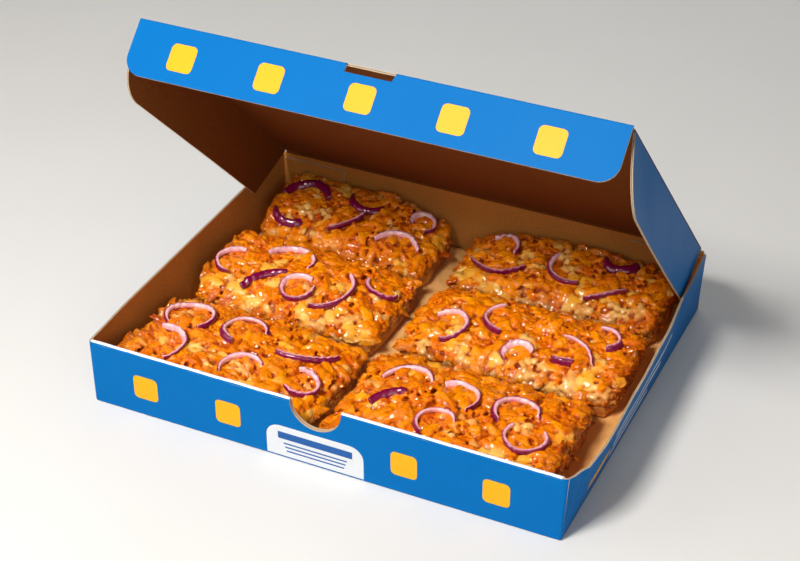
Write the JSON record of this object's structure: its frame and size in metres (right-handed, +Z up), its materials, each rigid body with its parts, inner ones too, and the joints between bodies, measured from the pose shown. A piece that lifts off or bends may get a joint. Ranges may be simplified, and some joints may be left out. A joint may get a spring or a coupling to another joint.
{
  "type": "pizza in its box",
  "caption": "Deep-pan pizza cut into slices, topped with shredded chicken, cheese and curls of red onion, lying on paper in an open corrugated takeaway box with a hinged lid.",
  "frame": {"origin": "middle of the tray's underside, on the surface that the box stands on", "axes": "+X across the front of the box to the right, +Y from the front wall towards the hinge, +Z up"},
  "size_m": [0.3564, 0.278, 0.2474],
  "materials": {
    "board": "satin",
    "paper": "matte",
    "crust": "matte",
    "topping": "satin",
    "onion": "satin"
  },
  "bodies": {
    "tray": {"tray": "board", "paper_liner": "paper", "crust_back_left": "crust", "crust_middle_left": "crust", "crust_front_left": "crust", "crust_back_right": "crust", "crust_middle_right": "crust", "crust_front_right": "crust", "topping_back_left": "topping", "topping_middle_left": "topping", "topping_front_left": "topping", "topping_back_right": "topping", "topping_middle_right": "topping", "topping_front_right": "topping", "onion_back_left_1": "onion", "onion_back_left_2": "onion", "onion_back_left_3": "onion", "onion_back_left_4": "onion", "onion_back_left_5": "onion", "onion_back_left_6": "onion", "onion_middle_left_1": "onion", "onion_middle_left_2": "onion", "onion_middle_left_3": "onion", "onion_middle_left_4": "onion", "onion_middle_left_5": "onion", "onion_middle_left_6": "onion", "onion_front_left_1": "onion", "onion_front_left_2": "onion", "onion_front_left_3": "onion", "onion_front_left_4": "onion", "onion_front_left_5": "onion", "onion_front_left_6": "onion", "onion_back_right_1": "onion", "onion_back_right_2": "onion", "onion_back_right_3": "onion", "onion_back_right_4": "onion", "onion_back_right_5": "onion", "onion_middle_right_1": "onion", "onion_middle_right_2": "onion", "onion_middle_right_3": "onion", "onion_middle_right_4": "onion", "onion_middle_right_5": "onion", "onion_middle_right_6": "onion", "onion_front_right_1": "onion", "onion_front_right_2": "onion", "onion_front_right_3": "onion", "onion_front_right_4": "onion", "onion_front_right_5": "onion", "onion_front_right_6": "onion"},
    "lid": {"lid": "board"},
    "flap_left": {"flap_left": "board"},
    "flap_right": {"flap_right": "board"}
  },
  "joints": [
    {"name": "lid_hinge", "type": "hinge", "parent": "tray", "child": "lid", "pos_m": [0, 0.139, 0.05105], "axis": [-1, 0, 0], "range_deg": [-46.5, 133.5]},
    {"name": "flap_left_fold", "type": "hinge", "parent": "lid", "child": "flap_left", "pos_m": [-0.168, 0.139, 0.05105], "axis": [0, 0.6884, -0.7254], "range_deg": [-9, 25.9]},
    {"name": "flap_right_fold", "type": "hinge", "parent": "lid", "child": "flap_right", "pos_m": [0.168, 0.139, 0.05105], "axis": [0, -0.6884, 0.7254], "range_deg": [-9, 25.9]}
  ],
  "couplings": [
    {"joint": "flap_left_fold", "follows": "lid_hinge", "ratio": 0.1935},
    {"joint": "flap_right_fold", "follows": "lid_hinge", "ratio": 0.1935}
  ]
}
